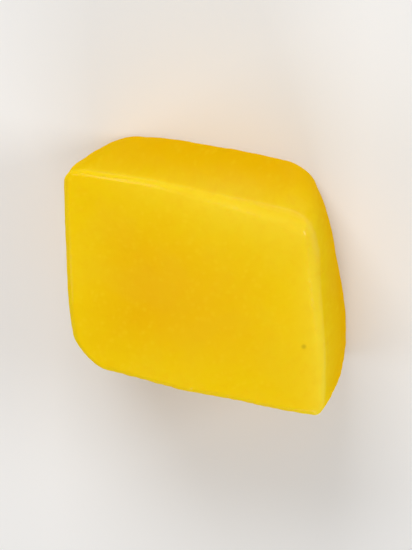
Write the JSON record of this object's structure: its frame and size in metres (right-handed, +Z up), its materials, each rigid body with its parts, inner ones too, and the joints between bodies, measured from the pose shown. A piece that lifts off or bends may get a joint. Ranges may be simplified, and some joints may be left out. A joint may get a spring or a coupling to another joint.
{
  "type": "mango chunk",
  "caption": "Uneven block of fresh mango flesh with knife-cut sides, softened edges and one gently curved side from under the peel, lying on a flat face.",
  "frame": {"origin": "middle of the chunk's box in plan, on the flat face that it lies on", "axes": "+Z up, +X towards the side that lay under the peel, +Y towards the long knife-cut side that is the far one when the chunk is seen from above"},
  "size_m": [0.0276, 0.0254, 0.0212],
  "materials": {
    "mango_flesh": "moist ripe mango flesh, golden yellow, softly glossy, a little see-through, paler towards the peel side"
  },
  "bodies": {
    "root": {"mango_chunk": "mango_flesh"}
  },
  "joints": []
}
